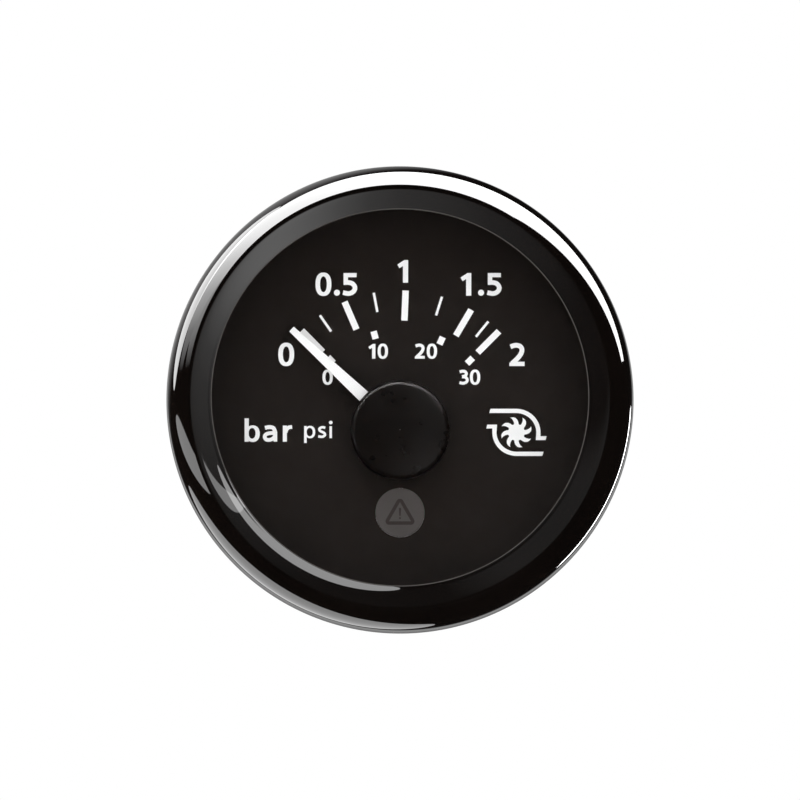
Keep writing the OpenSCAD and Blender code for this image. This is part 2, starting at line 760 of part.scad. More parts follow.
module stator_plate() {
    arm_y = rotor_offset - arm_w / 2;
    color([0.55, 0.56, 0.58]) faced() at(pivot) difference() {
        union() {
            at([0, rotor_offset]) disc(stator_ring_r, plate_back_z, plate_z);
            for (side = [-1, 1]) at([side * leg_x, (arm_y + arm_w + yoke_y - yoke_w) / 2])
                block(leg_w, arm_y + arm_w - yoke_y + yoke_w, plate_back_z, plate_z);
            translate([-leg_x, arm_y, plate_back_z]) cube([2 * leg_x, arm_w, plate_t]);
            translate([-leg_x, yoke_y - yoke_w, plate_back_z]) cube([2 * leg_x, yoke_w, plate_t]);
            translate([-centre_leg_w / 2, yoke_y - yoke_w / 2, plate_back_z])
                cube([centre_leg_w, rotor_offset - yoke_y + yoke_w / 2, plate_t]);
            disc(eye_r, plate_back_z, plate_z);
        }
        hole(eye_hole_r, plate_back_z, plate_z);
        at([0, rotor_offset]) hole(stator_bore_r, plate_back_z, plate_z);
    }
}

// A bobbin's cross-section run along the leg, between two distances from the shaft
module along_leg(from, to) {
    translate([0, from, coil_z]) rotate([-90, 0, 0]) linear_extrude(to - from) children();
}

module coil_bobbins() {
    color([0.92, 0.9, 0.82]) faced() for (side = [-1, 1]) at(pivot + [side * leg_x, 0]) difference() {
        union() {
            along_leg(coil_low_y, coil_top_y) square([spool_w, spool_h], center = true);
            along_leg(coil_top_y, coil_top_y + flange_t) square([flange_w, flange_h], center = true);
            along_leg(coil_low_y - flange_t, coil_low_y) square([flange_w, flange_h], center = true);
            translate([-flange_w / 2, block_low_y, plate_z])
                cube([flange_w, block_l + flange_t, flange_h / 2 - plate_t / 2]);
        }
        along_leg(block_low_y - eps, coil_top_y + flange_t + eps) square([spool_in_w, spool_in_h], center = true);
        for (i = [-1 / 2, 1 / 2]) at([i * motor_pin_spread, motor_pin_y])
            block(motor_pin_w + 2 * touch, motor_pin_w + 2 * touch, plate_z - eps, coil_z + flange_h);
    }
}

module coil_windings() {
    w = flange_w - 2 * winding_inset;
    h = flange_h - 2 * winding_inset;
    color([0.72, 0.36, 0.16]) faced() for (side = [-1, 1]) at(pivot + [side * leg_x, 0])
        translate([0, coil_low_y + touch, coil_z]) rotate([-90, 0, 0]) difference() {
            rounded_block(w, h, winding_round, 0, coil_l - 2 * touch);
            block(spool_w + 2 * touch, spool_h + 2 * touch, -eps, coil_l + eps);
        }
}

module motor_pins() {
    color([0.8, 0.7, 0.4]) faced() at_motor_pins()
        block(motor_pin_w, motor_pin_w, plate_z + spool_gap + touch, board_z + motor_pin_out);
}

module connector_socket() {
    color([0.06, 0.06, 0.07]) faced() at([0, socket_y]) difference() {
        rounded_block(socket_w, socket_h, socket_round, socket_end_z, board_back_z);
        rounded_block(socket_in_w, socket_in_h, socket_round / 2, socket_end_z - eps, socket_floor_z);
        at([0, socket_h / 2]) block(latch_w, socket_h / 2, socket_end_z + latch_in,
            socket_end_z + latch_in + latch_l);
        for (i = pin_columns, j = pin_rows) at([i * pin_pitch, j * pin_pitch])
            block(pin_w + 2 * touch, pin_w + 2 * touch, socket_floor_z - eps, board_back_z + eps);
    }
}

module connector_pins() {
    color([0.85, 0.72, 0.3]) faced() at_connector_pins() {
        block(pin_w, pin_w, pin_end_z + pin_tip, board_z + pin_out);
        translate([0, 0, pin_end_z]) rotate([0, 0, 45])
            cylinder(r1 = pin_w / 4, r2 = pin_w * sqrt(1 / 2), h = pin_tip, $fn = 4);
    }
}

module pointer() {
    color([0.97, 0.97, 0.97]) faced() at(pivot) rotate([0, 0, pointer_a]) difference() {
        union() {
            translate([0, 0, pointer_z]) linear_extrude(pointer_t) polygon([[0, -pointer_root_w / 2],
                [pointer_l, -pointer_tip_w / 2], [pointer_l, pointer_tip_w / 2], [0, pointer_root_w / 2]]);
            disc(hub_r, pointer_z, pointer_top_z);
            disc(hub_boss_r, pointer_z - hub_boss_h / 2, pointer_top_z + hub_boss_h);
        }
        hole(shaft_r + touch, pointer_z - hub_boss_h, pointer_top_z + hub_boss_h);
    }
}

module pointer_cap() {
    pocket_z = pointer_top_z + hub_boss_h + slip;
    crown_z = cap_z + cap_h - crown_round;
    shoulder_z = crown_z + (crown_round - cap_edge) * cos(crown_a);
    profile = concat([[hub_r + slip, cap_z], [cap_r, cap_z]],
        arc([cap_r - cap_edge, shoulder_z], [cap_edge, cap_edge], 0, 90 - crown_a, crown_steps),
        arc([0, crown_z], [crown_round, crown_round], 90 - crown_a * (1 - 1 / crown_steps), 90, crown_steps - 1),
        [[0, pocket_z], [hub_boss_r + slip, pocket_z], [hub_boss_r + slip, pointer_top_z],
        [hub_r + slip, pointer_top_z]]);
    color([0.04, 0.035, 0.03]) faced() at(pivot) difference() {
        rotate_extrude() polygon(profile);
        rotate([0, 0, pointer_a]) translate([0, -pointer_root_w / 2 - slip / 2, cap_z - eps])
            cube([2 * cap_r, pointer_root_w + slip, pointer_top_z + touch - cap_z + eps]);
    }
}

module pointer_shaft() {
    color([0.75, 0.75, 0.78]) faced() at(pivot)
        disc(shaft_r, case_floor_z + shaft_end_gap, pointer_top_z + hub_boss_h);
}

// Sinks a wheel's web between its hub and its rim, from both faces
module web(inner, outer, low, high) {
    sunk = (high - low) * web_share;
    ring(outer, inner, high - sunk, high + eps);
    ring(outer, inner, low - eps, low + sunk);
}

module output_wheel() {
    back_z = output_z - output_t;
    color([0.9, 0.87, 0.75]) faced() at(pivot) rotate([0, 0, inter_to_output_a + 180]) difference() {
        gear(output_teeth, second_module, -shift_share, wheel_flank_steps, back_z, output_z);
        hole(shaft_r + touch, back_z, output_z);
        web(wheel_hub_r, output_tip_r - rim_t, back_z, output_z);
    }
}

module intermediate_wheel() {
    color([0.85, 0.85, 0.8]) faced() at(inter) {
        rotate([0, 0, inter_to_output_a + 180 / pinion_teeth])
            gear(pinion_teeth, second_module, shift_share, pinion_flank_steps, inter_z, output_z);
        rotate([0, 0, inter_to_rotor_a]) difference() {
            gear(inter_teeth, first_module, -shift_share, wheel_flank_steps, inter_back_z, inter_z);
            web(wheel_hub_r, inter_tip_r - rim_t, inter_back_z, inter_z);
        }
        disc(pin_r, output_z - pin_depth, cavity_z + pin_depth);
        disc(pin_r, inter_back_z - wheel_gap - pin_depth, inter_back_z + inter_t / 2);
    }
}

module rotor_magnet() {
    color([0.25, 0.25, 0.27]) faced() at(rotor) ring(magnet_r, arbor_r + touch, magnet_back_z, magnet_z);
}

module rotor_pinion() {
    color([0.93, 0.93, 0.9]) faced() at(rotor) {
        rotate([0, 0, inter_to_rotor_a + 180 + 180 / pinion_teeth])
            gear(pinion_teeth, first_module, shift_share, pinion_flank_steps, rotor_pinion_back_z, rotor_pinion_z);
        disc(arbor_r, magnet_back_z, rotor_pinion_back_z);
        disc(pin_r, rotor_pinion_z - pin_depth, rotor_pinion_z + wheel_gap + pin_depth);
        disc(pin_r, magnet_back_z - wheel_gap - pin_depth, magnet_back_z + pin_depth);
    }
}

module clamp_nut() {
    color([0.07, 0.07, 0.075]) faced() difference() {
        union() {
            rotate_extrude() polygon([[nut_bore_r, nut_z], [nut_flange_r - nut_chamfer, nut_z],
                [nut_flange_r, nut_z - nut_chamfer], [nut_flange_r, nut_z - nut_flange_t],
                [nut_r, nut_z - nut_flange_t], [nut_r, nut_back_z + nut_chamfer],
                [nut_r - nut_chamfer, nut_back_z], [nut_bore_r, nut_back_z]]);
            for (i = [0 : nut_ribs - 1]) at(polar(nut_r, 360 * i / nut_ribs))
                disc(nut_rib_r, nut_back_z + nut_chamfer, nut_z - nut_flange_t);
        }
        hole(nut_bore_r, nut_back_z, nut_z);
        blind_hole(nut_counterbore_r, nut_z - nut_counterbore_l, nut_z);
    }
}

housing();
bezel_ring();
front_lens();
lens_seal();
spacer_ring();
panel_gasket();
dial_plate();
warning_light_lens();
light_guide();
light_box();
circuit_board();
backlight_leds();
warning_led();
board_screws();
control_chip();
voltage_regulator();
board_capacitor();
small_chips();
motor_case_front();
motor_case_rear();
stator_plate();
coil_bobbins();
coil_windings();
motor_pins();
connector_socket();
connector_pins();
pointer();
pointer_cap();
pointer_shaft();
output_wheel();
intermediate_wheel();
rotor_magnet();
rotor_pinion();
clamp_nut();
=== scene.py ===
"""A round panel gauge for boost pressure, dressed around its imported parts.

Lengths are in millimetres until a mesh is made. The camera's and the lamps' places are in metres.
"""
import json
import math

import bpy
from mathutils import Matrix, Vector


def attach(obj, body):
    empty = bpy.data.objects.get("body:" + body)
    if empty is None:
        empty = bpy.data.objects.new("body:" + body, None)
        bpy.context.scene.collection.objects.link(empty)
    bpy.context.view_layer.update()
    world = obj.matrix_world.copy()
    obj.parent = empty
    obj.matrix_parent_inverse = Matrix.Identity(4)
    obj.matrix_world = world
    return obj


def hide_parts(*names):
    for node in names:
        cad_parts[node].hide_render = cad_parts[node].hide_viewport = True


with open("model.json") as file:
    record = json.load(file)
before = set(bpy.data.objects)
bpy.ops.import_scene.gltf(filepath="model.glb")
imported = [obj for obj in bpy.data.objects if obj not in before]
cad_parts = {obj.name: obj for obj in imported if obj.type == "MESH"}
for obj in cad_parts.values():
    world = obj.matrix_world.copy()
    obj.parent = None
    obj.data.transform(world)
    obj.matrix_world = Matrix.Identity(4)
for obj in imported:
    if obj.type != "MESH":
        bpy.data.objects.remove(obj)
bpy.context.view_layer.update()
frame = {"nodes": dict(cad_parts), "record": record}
nodes = frame["nodes"]
slot_of = {part["node"]: part["material_slot"] for part in frame["record"]["subparts"]}
MM = 0.001

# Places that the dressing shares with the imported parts
PIVOT = (0.0, -4.2)
LAMP = (0.0, -15.07)
DIAL_FACE = 2.8
PRINT_T = 0.03


# Node materials

def fill_ramp(ramp, stops):
    """Sets a colour ramp to greys, each as its position and its share of white."""
    while len(ramp.color_ramp.elements) < len(stops):
        ramp.color_ramp.elements.new(0.5)
    for element, (position, share) in zip(ramp.color_ramp.elements, stops):
        element.position, element.color = position, (share, share, share, 1)


class Shader:
    """A node material round one Principled shader, with its patterns in the object's own coordinates."""

    def __init__(self, name, roughness, **plain):
        self.material = bpy.data.materials.new(name)
        self.material.use_nodes = True
        self.tree = self.material.node_tree
        self.bsdf = next(n for n in self.tree.nodes if n.type == "BSDF_PRINCIPLED")
        self.bsdf.inputs["Roughness"].default_value = roughness
        for socket, value in plain.items():
            self.bsdf.inputs[socket.replace("_", " ")].default_value = value
        self.coordinates = self.node("ShaderNodeTexCoord").outputs["Object"]

    def node(self, kind, **settings):
        made = self.tree.nodes.new(kind)
        for key, value in settings.items():
            setattr(made, key, value)
        return made

    def link(self, source, target):
        self.tree.links.new(source, target)

    def noise(self, scale, detail=2.0, stretch=(1, 1, 1)):
        """Noise of scale features a metre."""
        mapping = self.node("ShaderNodeMapping")
        mapping.inputs["Scale"].default_value = stretch
        self.link(self.coordinates, mapping.inputs["Vector"])
        texture = self.node("ShaderNodeTexNoise")
        texture.inputs["Scale"].default_value = scale
        texture.inputs["Detail"].default_value = detail
        self.link(mapping.outputs["Vector"], texture.inputs["Vector"])
        return texture.outputs["Fac"]

    def ranged(self, value, low, high, start=0.3, stop=0.7):
        """The value spread over a new range."""
        spread = self.node("ShaderNodeMapRange")
        for socket, number in (("From Min", start), ("From Max", stop), ("To Min", low), ("To Max", high)):
            spread.inputs[socket].default_value = number
        self.link(value, spread.inputs["Value"])
        return spread.outputs["Result"]

    def mottled(self, colour, scale, spread, detail=3.0):
        """The colour, varied by a share either way over patches."""
        ramp = self.node("ShaderNodeValToRGB")
        ramp.color_ramp.elements[0].position = 0.3
        ramp.color_ramp.elements[1].position = 0.7
        ramp.color_ramp.elements[0].color = [min(1, c * (1 - spread)) for c in colour] + [1]
        ramp.color_ramp.elements[1].color = [min(1, c * (1 + spread)) for c in colour] + [1]
        self.link(self.noise(scale, detail), ramp.inputs["Fac"])
        self.link(ramp.outputs["Color"], self.bsdf.inputs["Base Color"])

    def worn(self, low, high, scale, detail=4.0, stretch=(1, 1, 1)):
        """Roughness that wanders between two values."""
        self.link(self.ranged(self.noise(scale, detail, stretch), low, high), self.bsdf.inputs["Roughness"])

    def bumped(self, height, depth_mm, strength=1.0):
        """A bump of that depth from a height between 0 and 1."""
        bump = self.node("ShaderNodeBump")
        bump.inputs["Distance"].default_value = depth_mm * MM
        bump.inputs["Strength"].default_value = strength
        self.link(height, bump.inputs["Height"])
        self.link(bump.outputs["Normal"], self.bsdf.inputs["Normal"])


def moulded(name, colour, roughness, grain=3000, depth=0.012, spread=0.15, **plain):
    """Moulded plastic with a fine spark-eroded grain."""
    shader = Shader(name, roughness, **plain)
    shader.mottled(colour, 180, spread)
    shader.worn(roughness * 0.85, min(1, roughness * 1.15), 400)
    shader.bumped(shader.noise(grain, 3), depth)
    return shader.material


def metal(name, colour, roughness, stretch=(1, 1, 1), grain=1800, depth=0.004):
    """Bare or plated metal, drawn along the axis that stretch shortens."""
    shader = Shader(name, roughness, Metallic=1.0)
    shader.mottled(colour, 500, 0.08)
    shader.worn(roughness * 0.7, roughness * 1.3, 900, stretch=stretch)
    shader.bumped(shader.noise(grain, 2, stretch), depth)
    return shader.material


def lacquer(name, colour, roughness, depth=0.0006):
    """Deep glossy black, with the faint waviness of a polished moulding."""
    shader = Shader(name, roughness, Specular_IOR_Level=0.8)
    shader.mottled(colour, 90, 0.2)
    shader.worn(roughness * 0.8, roughness * 1.5, 150)
    shader.bumped(shader.noise(120, 1), depth)
    return shader.material


def clear(name, tint, roughness=0.0):
    """Clear plastic that glints for the camera and lets all other light through to what it covers."""
    shader = Shader(name, roughness, Transmission_Weight=1.0, IOR=1.49)
    shader.mottled(tint, 60, 0.01)
    shader.worn(roughness, roughness + 0.012, 90)
    through = shader.node("ShaderNodeBsdfTransparent")
    rays = shader.node("ShaderNodeLightPath")
    output = next(n for n in shader.tree.nodes if n.type == "OUTPUT_MATERIAL")
    surface = shader.bsdf.outputs["BSDF"]
    for kind in ("Is Diffuse Ray", "Is Glossy Ray", "Is Shadow Ray"):
        mix = shader.node("ShaderNodeMixShader")
        shader.link(rays.outputs[kind], mix.inputs["Fac"])
        shader.link(surface, mix.inputs[1])
        shader.link(through.outputs["BSDF"], mix.inputs[2])
        surface = mix.outputs["Shader"]
    shader.link(surface, output.inputs["Surface"])
    return shader.material


finishes = {
    "case_black": moulded("case_black", (0.012, 0.012, 0.013), 0.5, 2600, 0.018, 0.06,
                          Specular_IOR_Level=0.32),
    "bezel_gloss": lacquer("bezel_gloss", (0.0026, 0.0016, 0.0012), 0.025),
    "lens_clear": clear("lens_clear", (0.985, 0.99, 0.99)),
    "seal_rubber": moulded("seal_rubber", (0.018, 0.018, 0.018), 0.85, 1500, 0.02),
    "dial_black": moulded("dial_black", (0.0122, 0.0088, 0.0071), 0.8, 5000, 0.003, 0.06,
                          Specular_IOR_Level=0.06),
    "lamp_window": moulded("lamp_window", (0.075, 0.067, 0.064), 0.6, 4000, 0.002, 0.05,
                           Specular_IOR_Level=0.1),
    "guide_clear": clear("guide_clear", (0.93, 0.96, 0.97), 0.05),
    "reflector_white": moulded("reflector_white", (0.85, 0.85, 0.83), 0.5),
    "board_green": moulded("board_green", (0.02, 0.16, 0.07), 0.3, 900, 0.01),
    "led_body": moulded("led_body", (0.85, 0.8, 0.55), 0.35),
    "screw_steel": metal("screw_steel", (0.6, 0.6, 0.62), 0.3),
    "chip_black": moulded("chip_black", (0.02, 0.02, 0.022), 0.5),
    "capacitor_can": metal("capacitor_can", (0.7, 0.7, 0.72), 0.3, (1, 8, 1)),
    "chip_ceramic": moulded("chip_ceramic", (0.35, 0.27, 0.19), 0.4),
    "movement_white": moulded("movement_white", (0.76, 0.76, 0.73), 0.45),
    "stator_iron": metal("stator_iron", (0.33, 0.33, 0.34), 0.4),
    "bobbin_cream": moulded("bobbin_cream", (0.8, 0.77, 0.66), 0.45),
    "coil_copper": metal("coil_copper", (0.55, 0.22, 0.09), 0.28, (1, 1, 12), 2500, 0.03),
    "contact_metal": metal("contact_metal", (0.78, 0.6, 0.27), 0.22, (1, 0.1, 1)),
    "connector_black": moulded("connector_black", (0.016, 0.016, 0.018), 0.42, 2200, 0.012),
    "pointer_white": moulded("pointer_white", (0.96, 0.96, 0.96), 0.42, 3500, 0.003, 0.02),
    "cap_gloss": moulded("cap_gloss", (0.0038, 0.0018, 0.0010), 0.3, 1200, 0.0003, 0.1,
                         Specular_IOR_Level=0.15),
    "shaft_steel": metal("shaft_steel", (0.6, 0.6, 0.63), 0.2),
    "gear_plastic": moulded("gear_plastic", (0.8, 0.78, 0.7), 0.4),
    "magnet_dark": metal("magnet_dark", (0.1, 0.1, 0.11), 0.55),
    "nut_black": moulded("nut_black", (0.016, 0.016, 0.017), 0.5, 2000, 0.022, 0.06,
                         Specular_IOR_Level=0.36),
}
# A lighter grey that stands for the highlight on the window's edge: a painted highlight, not a finish of the
# bezel
painted_lip_highlight = moulded("painted_lip_highlight", (0.07, 0.064, 0.06), 0.8, 3000, 0.001, 0.15, Specular_IOR_Level=0.1)
print_white = moulded("print_white", (0.96, 0.96, 0.96), 0.6, 6000, 0.002, 0.02, Specular_IOR_Level=0.3)
print_grey = moulded("print_grey", (0.038, 0.032, 0.029), 0.8, 6000, 0.002, 0.04, Specular_IOR_Level=0.05)

for name, part in nodes.items():
    part.data.materials.clear()
    part.data.materials.append(finishes[slot_of[name]])


# Meshes

def to_row(x, up, towards_viewer):
    """A point in the row frame, in metres, from millimetres seen on the dial."""
    return (x * MM, -towards_viewer * MM, up * MM)


def add_piece(name, points, faces, body, slot, material=None, smooth_angle=30.0):
    """A mesh piece from points in the row frame and in metres, which rides on a body."""
    mesh = bpy.data.meshes.new(name)
    mesh.from_pydata([tuple(p) for p in points], [], faces)
    mesh.validate()
    mesh.polygons.foreach_set("use_smooth", [True] * len(mesh.polygons))
    mesh.set_sharp_from_angle(angle=math.radians(smooth_angle))
    mesh.materials.append(material or finishes[slot])
    piece = bpy.data.objects.new(name, mesh)
    bpy.context.scene.collection.objects.link(piece)
    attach(piece, body)
    return piece


def arc(centre, radii, start, stop, steps):
    """Points on an ellipse's arc, with both ends."""
    angles = [math.radians(start + (stop - start) * i / steps) for i in range(steps + 1)]
    return [(centre[0] + radii[0] * math.cos(a), centre[1] + radii[1] * math.sin(a)) for a in angles]


def revolve(profile, segments, centre=(0.0, 0.0)):
    """Points and faces of a closed profile of radius and depth, turned about a point of the dial."""
    points, faces, count = [], [], len(profile)
    for s in range(segments):
        c, n = math.cos(2 * math.pi * s / segments), math.sin(2 * math.pi * s / segments)
        points += [to_row(centre[0] + r * c, centre[1] + r * n, depth) for r, depth in profile]
    for s in range(segments):
        a, b = s * count, (s + 1) % segments * count
        faces += [(a + i, a + (i + 1) % count, b + (i + 1) % count, b + i) for i in range(count)]
    return points, faces


# The bezel: an inner cone that rounds up to a crease, an outer roll, and a flared foot. Its skirt has a
# groove that snaps over the housing's collar, and a seat for the gasket.

BEZEL_R, FOOT_LOW, FOOT_TOP, FOOT_EDGE = 31.0, 0.8, 1.9, 0.08
ROLL_R, ROLL_LOW, ROLL_REACH, FLARE = 30.7, 6.3, 7.6, 2.1
CREST_R, CREST_Z = 28.0, 9.8
WINDOW_R, LENS_Z, LIP, LIP_EDGE_R = 24.8, 8.8, 0.25, 0.07
SKIRT_R, GROOVE_R, GROOVE_END, GROOVE_TOP, GROOVE_LOW = 28.3, 29.0, 4.1, 3.3, 2.75
SEAT_R, SEAT_Z = 29.6, 1.82


def bezel_profile():
    """The section from the foot over the roll and the cone to the window, and back inside the skirt."""
    crest_angle = math.degrees(math.acos((CREST_R - ROLL_R + ROLL_REACH) / ROLL_REACH))
    roll_height = (CREST_Z - ROLL_LOW) / math.sin(math.radians(crest_angle))
    cone_width, cone_height = CREST_R - WINDOW_R - LIP, CREST_Z - LENS_Z - LIP
    cone_round = (cone_width ** 2 + cone_height ** 2) / (2 * cone_height)
    cone_angle = math.degrees(math.asin(cone_width / cone_round))
    outside = [(BEZEL_R - FOOT_EDGE, FOOT_LOW), (BEZEL_R, FOOT_LOW + FOOT_EDGE), (BEZEL_R, FOOT_TOP - 0.1)]
    outside += [(BEZEL_R - 0.02, FOOT_TOP), (ROLL_R, FOOT_TOP + FLARE)]
    outside += arc((ROLL_R - ROLL_REACH, ROLL_LOW), (ROLL_REACH, roll_height), 0, crest_angle, 40)
    outside += arc((CREST_R, CREST_Z - cone_round), (cone_round, cone_round), 90, 90 + cone_angle, 20)[1:]
    inside = [(WINDOW_R + 0.04, LENS_Z + 0.16), (WINDOW_R, LENS_Z + 0.08), (WINDOW_R, LENS_Z)]
    inside += [(SKIRT_R, LENS_Z), (SKIRT_R, GROOVE_END), (GROOVE_R, GROOVE_TOP), (GROOVE_R, GROOVE_LOW)]
    inside += [(SKIRT_R, GROOVE_LOW), (SKIRT_R, SEAT_Z), (SEAT_R, SEAT_Z), (SEAT_R, FOOT_LOW)]
    return outside + inside


points, faces = revolve(bezel_profile(), 360)
bezel = add_piece("bezel_finish", points, faces, "root", "bezel_gloss", smooth_angle=20.0)
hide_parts("bezel_ring")

# A thin ring of lighter grey round the window, which paints the highlight along the bezel's lip edge
lip_edge = arc((WINDOW_R + 0.06, LENS_Z + 0.17), (LIP_EDGE_R, LIP_EDGE_R), 0, 345, 23)
points, faces = revolve(lip_edge, 360)
add_piece("bezel_lip_edge", points, faces, "root", "bezel_gloss", painted_lip_highlight)


# The pointer's cap: a domed disc, hollow over the pointer's hub and boss

CAP_R, CAP_LOW, CAP_HEIGHT, CAP_EDGE, CROWN = 6.55, 3.3, 3.5, 0.9, 10
BOSS_R, BOSS_TOP, HUB_R, HUB_TOP = 1.9, 5.7, 5.75, 4.6


def cap_profile():
    """The section from the rim over the dome, and back inside."""
    lean = math.sin(math.radians(CROWN))
    crown_round = (CAP_R - CAP_EDGE * (1 - lean)) / lean
    crown_z = CAP_LOW + CAP_HEIGHT - crown_round
    shoulder = crown_z + (crown_round - CAP_EDGE) * math.cos(math.radians(CROWN))
    outside = [(CAP_R - 0.06, CAP_LOW), (CAP_R, CAP_LOW + 0.06)]
    outside += arc((CAP_R - CAP_EDGE, shoulder), (CAP_EDGE, CAP_EDGE), 0, 90 - CROWN, 16)
    outside += arc((0, crown_z), (crown_round, crown_round), 90.7 - CROWN, 89.9, 16)
    inside = [(0.01, BOSS_TOP), (BOSS_R, BOSS_TOP), (BOSS_R, HUB_TOP), (HUB_R, HUB_TOP), (HUB_R, CAP_LOW)]
    return outside + inside


points, faces = revolve(cap_profile(), 192, PIVOT)
cap = add_piece("pointer_cap_finish", points, faces, "pointer", "cap_gloss")
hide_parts("pointer_cap")


# The barrel: a copy of the housing whose plain band between the land and the chamfer is cut as a thread. The
# thread's depth is ROOT_SHARE of THREAD_T at the root's middle, held to THREAD_T, and falls to nothing with
# the distance from there, by FLANK_FALL a pitch.

THREAD_R, THREAD_START, THREAD_END, PITCH, THREAD_T = 25.7, 3.0, 26.2, 1.5, 0.5
ROOT_SHARE, FLANK_FALL = 1.35, 4.2


def thread_radius(along, turn):
    """The thread's radius at a distance along the barrel and a share of a turn, with both ends run out."""
    phase = (along / PITCH - turn) % 1.0
    depth = min(1.0, max(0.0, ROOT_SHARE - abs(phase - 0.5) * FLANK_FALL))
    run_out = min(1.0, min(along - THREAD_START, THREAD_END - along) / PITCH)
    return THREAD_R - THREAD_T * depth * max(0.0, run_out)


def threaded_housing(turns=144, rows=372):
    """The housing's points and faces, with the plain band's faces changed for the thread's."""
    source = nodes["housing"].data
    rings = [Vector((v.co.x, 0, v.co.z)).length / MM for v in source.vertices]
    depths = [v.co.y / MM for v in source.vertices]

    def is_plain_band(polygon):
        reach = [depths[i] for i in polygon.vertices]
        on_crest = all(abs(rings[i] - THREAD_R) < 0.02 for i in polygon.vertices)
        return max(reach) - min(reach) > 1 and on_crest

    points = [tuple(v.co) for v in source.vertices]
    faces = [tuple(p.vertices) for p in source.polygons if not is_plain_band(p)]
    first = len(points)
    for row in range(rows + 1):
        along = THREAD_START + (THREAD_END - THREAD_START) * row / rows
        for k in range(turns):
            r, a = thread_radius(along, k / turns), 2 * math.pi * k / turns
            points.append((r * MM * math.cos(a), along * MM, r * MM * math.sin(a)))
    for row in range(rows):
        for k in range(turns):
            a, b = first + row * turns, (k + 1) % turns
            faces.append((a + k, a + turns + k, a + turns + b, a + b))
    return points, faces


points, faces = threaded_housing()
housing = add_piece("housing_threaded", points, faces, "root", "case_black", smooth_angle=42.0)
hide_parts("housing")


# Rounded edges on the hard-edged parts, by their width

EDGES = {"clamp_nut": 0.15, "connector_socket": 0.12, "pointer": 0.05, "panel_gasket": 0.1,
         "motor_case_front": 0.15, "motor_case_rear": 0.15, "circuit_board": 0.05, "control_chip": 0.03,
         "voltage_regulator": 0.05, "board_capacitor": 0.08, "small_chips": 0.04, "backlight_leds": 0.05,
         "warning_led": 0.05, "light_box": 0.06}
for name, width in EDGES.items():
    part = nodes[name]
    weld = part.modifiers.new("weld", "WELD")
    weld.merge_threshold = 0.001 * MM
    bevel = part.modifiers.new("edges", "BEVEL")
    bevel.width, bevel.segments, bevel.limit_method = width * MM, 2, "ANGLE"
    bevel.angle_limit = math.radians(40)
    bevel.harden_normals = False


# The dial's print: every mark is a thin raised layer of ink

class Print:
    """Flat marks of ink, gathered into one mesh. Each one's top lies a hair above the last one's."""

    HAIR = 0.00005

    def __init__(self, base):
        self.base, self.points, self.faces, self.marks = base, [], [], 0

    def slab(self, outline, hole=None):
        """A solid from an outline, and from a hole with as many points."""
        top = self.base + PRINT_T + self.marks * self.HAIR
        self.marks += 1
        first, count = len(self.points), len(outline)
        for ring in [outline] + ([hole] if hole else []):
            for level in (self.base, top):
                self.points += [to_row(x, y, level) for x, y in ring]
        loops = [first + i * count for i in range(4 if hole else 2)]
        for i in range(count):
            j = (i + 1) % count
            self.faces.append((loops[0] + i, loops[0] + j, loops[1] + j, loops[1] + i))
            if hole:
                self.faces.append((loops[2] + j, loops[2] + i, loops[3] + i, loops[3] + j))
                self.faces.append((loops[1] + i, loops[1] + j, loops[3] + j, loops[3] + i))
                self.faces.append((loops[0] + j, loops[0] + i, loops[2] + i, loops[2] + j))
        if not hole:
            self.faces.append(tuple(loops[1] + i for i in range(count)))
            self.faces.append(tuple(loops[0] + i for i in reversed(range(count))))

    def ribbon(self, path, width, closed=False):
        """A stroke of one width along a path, with mitred corners."""
        count, left, right = len(path), [], []
        for i, (x, y) in enumerate(path):
            before = path[i - 1] if closed or i > 0 else path[i]
            after = path[(i + 1) % count] if closed or i < count - 1 else path[i]
            d1 = Vector((x - before[0], y - before[1]))
            d2 = Vector((after[0] - x, after[1] - y))
            d1 = d1.normalized() if d1.length > 1e-9 else d2.normalized()
            d2 = d2.normalized() if d2.length > 1e-9 else d1
            across = Vector((-(d1 + d2).y, (d1 + d2).x)).normalized()
            reach = width / 2 / max(0.35, across.dot(Vector((-d1.y, d1.x))))
            left.append((x + across.x * reach, y + across.y * reach))
            right.append((x - across.x * reach, y - across.y * reach))
        if closed:
            area = sum(a[0] * b[1] - b[0] * a[1] for a, b in zip(path, path[1:] + path[:1]))
            outer, inner = (right, left) if area > 0 else (left[::-1], right[::-1])
            self.slab(outer, inner)
        else:
            self.slab(right + left[::-1])

    def piece(self, name, body, slot, material):
        return add_piece(name, self.points, self.faces, body, slot, material)


def smooth(path, steps=6):
    """A smooth line through sparse points."""
    ends = [path[0]] + list(path) + [path[-1]]
    line = []
    for p0, p1, p2, p3 in zip(ends, ends[1:], ends[2:], ends[3:]):
        for i in range(steps):
            t = i / steps
            line.append(tuple(0.5 * (2 * b + (c - a) * t + (2 * a - 5 * b + 4 * c - d) * t * t
                                     + (3 * b - a - 3 * c + d) * t ** 3)
                              for a, b, c, d in zip(p0, p1, p2, p3)))
    return line + [tuple(path[-1])]


def oval(centre, radii, power=2.0, steps=48):
    """A superellipse, round at power 2 and squarer above it."""
    line = []
    for i in range(steps):
        c, s = math.cos(2 * math.pi * i / steps), math.sin(2 * math.pi * i / steps)
        line.append((centre[0] + radii[0] * math.copysign(abs(c) ** (2 / power), c),
                     centre[1] + radii[1] * math.copysign(abs(s) ** (2 / power), s)))
    return line


